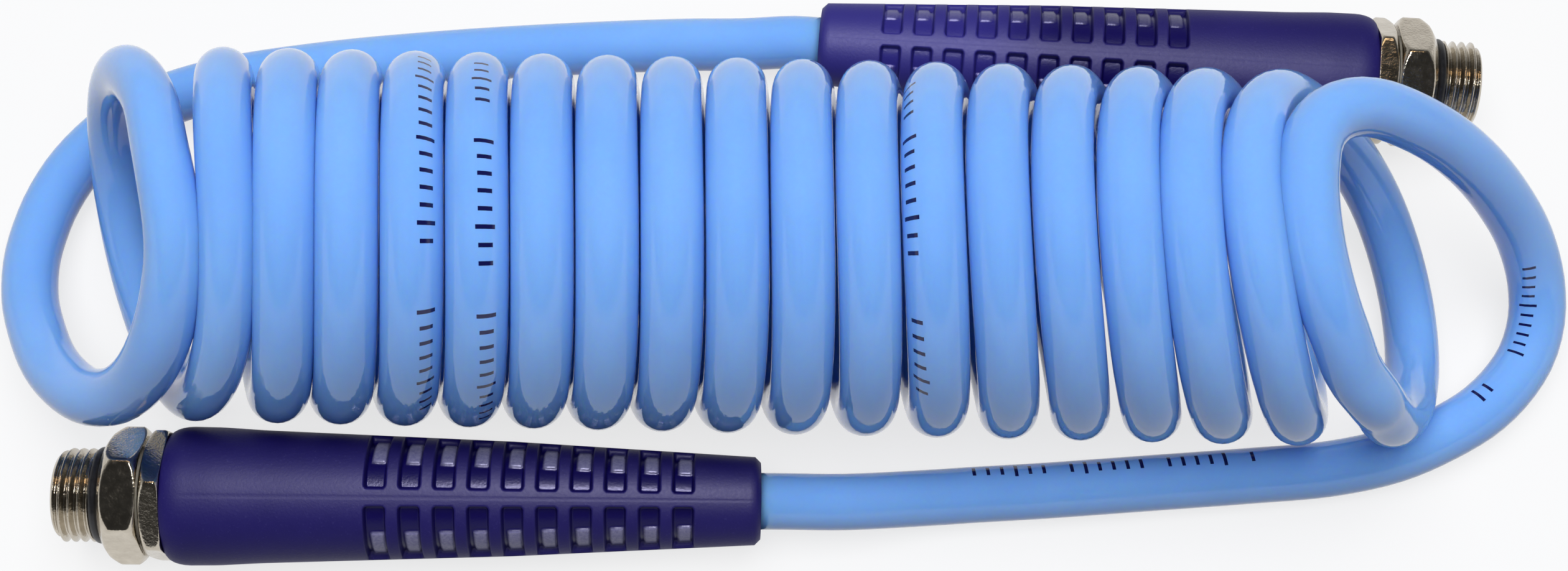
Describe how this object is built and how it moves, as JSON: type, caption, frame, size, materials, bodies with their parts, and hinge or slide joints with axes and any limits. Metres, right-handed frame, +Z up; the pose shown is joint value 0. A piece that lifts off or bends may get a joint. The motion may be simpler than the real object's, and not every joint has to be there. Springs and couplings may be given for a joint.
{
  "type": "coiled air hose",
  "caption": "Coiled air hose with a ribbed hand grip and a swivelling male threaded fitting at each end of its self-retracting coil.",
  "frame": {"origin": "middle of the whole hose's box on the ground that it lies on", "axes": "+X along the coil towards the end that is pulled out, +Y towards the end that stays, +Z up"},
  "size_m": [0.23, 0.088, 0.0522],
  "materials": {
    "hose": "glossy, slightly translucent light blue polyurethane",
    "grip": "satin dark navy moulded plastic",
    "nickel": "nickel-plated brass with a fine orange-peel surface",
    "steel": "plain zinc-plated steel",
    "seal": "black nitrile rubber",
    "washer": "off-white low-friction plastic"
  },
  "bodies": {
    "root": {"hose_coil": "hose", "hose_tail_b": "hose", "hose_end_b": "hose", "grip_b": "grip", "ferrule_b": "steel", "stem_b": "nickel", "thrust_washer_b": "washer", "o_ring_b": "seal", "retaining_ring_b": "steel"},
    "end_a": {"hose_tail_a": "hose", "hose_end_a": "hose", "grip_a": "grip", "ferrule_a": "steel", "stem_a": "nickel", "thrust_washer_a": "washer", "o_ring_a": "seal", "retaining_ring_a": "steel"},
    "nipple_a": {"nipple_a": "nickel", "thread_seal_a": "seal"},
    "nipple_b": {"nipple_b": "nickel", "thread_seal_b": "seal"}
  },
  "joints": [
    {"name": "coil_stretch", "type": "slide", "parent": "root", "child": "end_a", "axis": [1, 0, 0], "range_m": [0, 0.9], "stiffness_N_per_m": 11, "deforming": ["hose_coil"]},
    {"name": "swivel_a", "type": "hinge", "parent": "end_a", "child": "nipple_a", "pos_m": [-0.0933, -0.0336, 0.01021], "axis": [-0.9993, 0, 0.0366], "continuous": true},
    {"name": "swivel_b", "type": "hinge", "parent": "root", "child": "nipple_b", "pos_m": [0.09517, 0.03037, 0.01021], "axis": [0.9952, -0.0906, 0.0366], "continuous": true}
  ]
}
